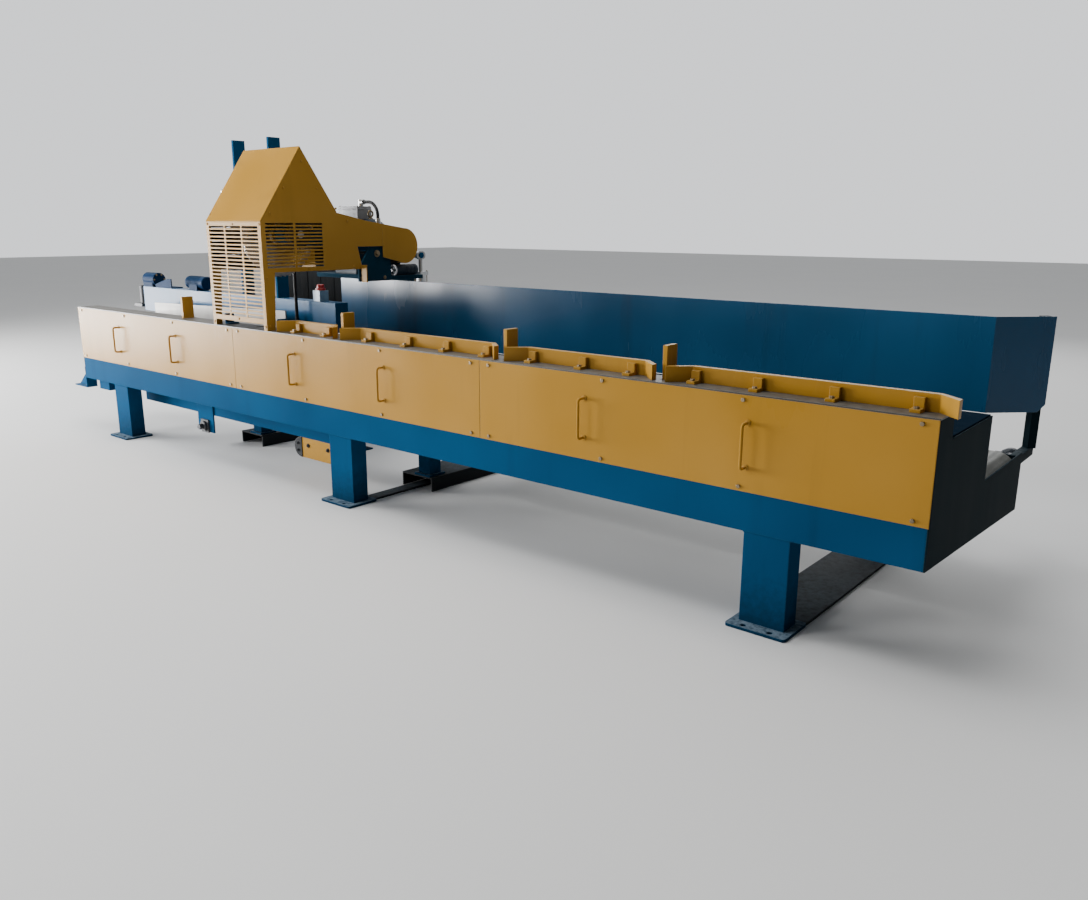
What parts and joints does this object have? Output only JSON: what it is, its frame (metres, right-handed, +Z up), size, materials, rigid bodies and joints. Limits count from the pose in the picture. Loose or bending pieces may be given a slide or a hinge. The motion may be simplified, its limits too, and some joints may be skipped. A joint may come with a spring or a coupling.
{
  "type": "cut_off_saw",
  "caption": "Floor-standing overhead cut-off saw for timber: hooded swing-down blade, belt drive, roller table with fence and kicker arms, hold-down and take-away belt conveyor.",
  "frame": {"origin": "middle of the footprint, on the floor", "axes": "+X along the table to the right as seen from the front, +Y to the rear, +Z up"},
  "size_m": [6.5462, 1.55, 2.05],
  "materials": {
    "paint_yellow": "satin ochre enamel",
    "paint_blue": "gloss deep blue enamel",
    "motor_blue": "satin slate-blue enamel",
    "strip_dark": "worn dark grey",
    "steel_bare": "bare, lightly worn",
    "bolt_steel": "zinc plated",
    "blade_steel": "ground",
    "cast_dark": "dark cast surface",
    "cylinder_aluminium": "drawn and anodised",
    "belt_rubber": "matt grey",
    "conduit_black": "black sheath with bright fittings",
    "estop_red": "red",
    "estop_blue": "pale blue"
  },
  "bodies": {
    "frame": {"cover_panel_left": "paint_yellow", "cover_panel_middle": "paint_yellow", "cover_panel_right": "paint_yellow", "panel_handles": "paint_yellow", "fence_rails": "paint_yellow", "fence_brackets": "paint_yellow", "hood_front": "paint_yellow", "hood_sides": "paint_yellow", "hood_roof": "paint_yellow", "belt_guard": "paint_yellow", "chain_guard": "paint_yellow", "front_beam": "paint_blue", "front_legs": "paint_blue", "rear_legs": "paint_blue", "end_plates": "paint_blue", "bed_frame": "paint_blue", "conveyor_frame": "paint_blue", "cabinet_frame": "paint_blue", "sub_rail": "paint_blue", "frame_brackets": "paint_blue", "rear_beam": "paint_blue", "holddown_frame": "paint_blue", "wall_posts": "paint_blue", "back_wall": "paint_blue", "floor_sills": "paint_blue", "saw_pedestal": "paint_blue", "drive_motor": "motor_blue", "infeed_drive": "motor_blue", "gearmotor": "motor_blue", "top_strip": "strip_dark", "bed_deck": "steel_bare", "side_plate": "steel_bare", "infeed_post": "steel_bare", "roller_chain": "steel_bare", "hex_bolts": "bolt_steel", "bearings": "cast_dark", "kicker_actuator": "cast_dark", "feed_cylinder": "cylinder_aluminium", "holddown_cylinder": "cylinder_aluminium", "terminal_box": "cylinder_aluminium", "conveyor_belt": "belt_rubber", "motor_conduit": "conduit_black", "estop_box": "estop_blue"},
    "swing_arm": {"swing_arm": "paint_blue", "drive_belt": "belt_rubber"},
    "arbor": {"arbor": "steel_bare", "saw_blade": "blade_steel", "arbor_sheave": "cast_dark"},
    "drive_shaft": {"drive_shaft": "steel_bare", "drive_sheave": "cast_dark"},
    "feed_rod": {"feed_rod": "steel_bare"},
    "kickers": {"kicker_shaft": "steel_bare", "kicker_arms": "paint_yellow"},
    "head_pulley": {"head_pulley": "steel_bare"},
    "tail_pulley": {"tail_pulley": "steel_bare"},
    "bed_roller_1": {"bed_roller_1": "steel_bare"},
    "bed_roller_2": {"bed_roller_2": "steel_bare"},
    "bed_roller_3": {"bed_roller_3": "steel_bare"},
    "holddown_shoe": {"holddown_shoe": "steel_bare"},
    "estop_button": {"estop_button": "estop_red"}
  },
  "joints": [
    {"name": "swing", "type": "hinge", "parent": "frame", "child": "swing_arm", "pos_m": [-0.6271, 0.34, 1.365], "axis": [1, 0, 0], "range_deg": [0, 32.4]},
    {"name": "motor_spin", "type": "hinge", "parent": "frame", "child": "drive_shaft", "pos_m": [-0.6271, 0.34, 1.365], "axis": [1, 0, 0], "continuous": true},
    {"name": "saw_spin", "type": "hinge", "parent": "swing_arm", "child": "arbor", "pos_m": [-0.7221, -0.44, 1.44], "axis": [1, 0, 0], "continuous": true},
    {"name": "feed_slide", "type": "slide", "parent": "frame", "child": "feed_rod", "axis": [0, 0, 1], "range_m": [0, 0.13705]},
    {"name": "kicker_swing", "type": "hinge", "parent": "frame", "child": "kickers", "pos_m": [1.29806, -0.45, 0.48], "axis": [-1, 0, 0], "range_deg": [0, 58]},
    {"name": "head_spin", "type": "hinge", "parent": "frame", "child": "head_pulley", "pos_m": [3.1331, 0.235, 0.469], "axis": [0, 1, 0], "continuous": true},
    {"name": "tail_spin", "type": "hinge", "parent": "frame", "child": "tail_pulley", "pos_m": [0.45426, 0.235, 0.469], "axis": [0, 1, 0], "continuous": true},
    {"name": "roller_spin_1", "type": "hinge", "parent": "frame", "child": "bed_roller_1", "pos_m": [-2.57178, -0.325, 0.765], "axis": [0, 1, 0], "continuous": true},
    {"name": "roller_spin_2", "type": "hinge", "parent": "frame", "child": "bed_roller_2", "pos_m": [-0.27208, -0.325, 0.765], "axis": [0, 1, 0], "continuous": true},
    {"name": "roller_spin_3", "type": "hinge", "parent": "frame", "child": "bed_roller_3", "pos_m": [2.52782, -0.325, 0.765], "axis": [0, 1, 0], "continuous": true},
    {"name": "clamp_slide", "type": "slide", "parent": "frame", "child": "holddown_shoe", "axis": [0, 0, -1], "range_m": [0, 0.25]},
    {"name": "estop_press", "type": "slide", "parent": "frame", "child": "estop_button", "axis": [0, 0, -1], "range_m": [0, 0.008], "stiffness_N_per_m": 2500}
  ],
  "couplings": [
    {"joint": "saw_spin", "follows": "motor_spin", "ratio": 1},
    {"joint": "feed_slide", "follows": "swing", "m_per_rad": 0.24147},
    {"joint": "tail_spin", "follows": "head_spin", "ratio": 1},
    {"joint": "roller_spin_2", "follows": "roller_spin_1", "ratio": 1},
    {"joint": "roller_spin_3", "follows": "roller_spin_1", "ratio": 1}
  ]
}
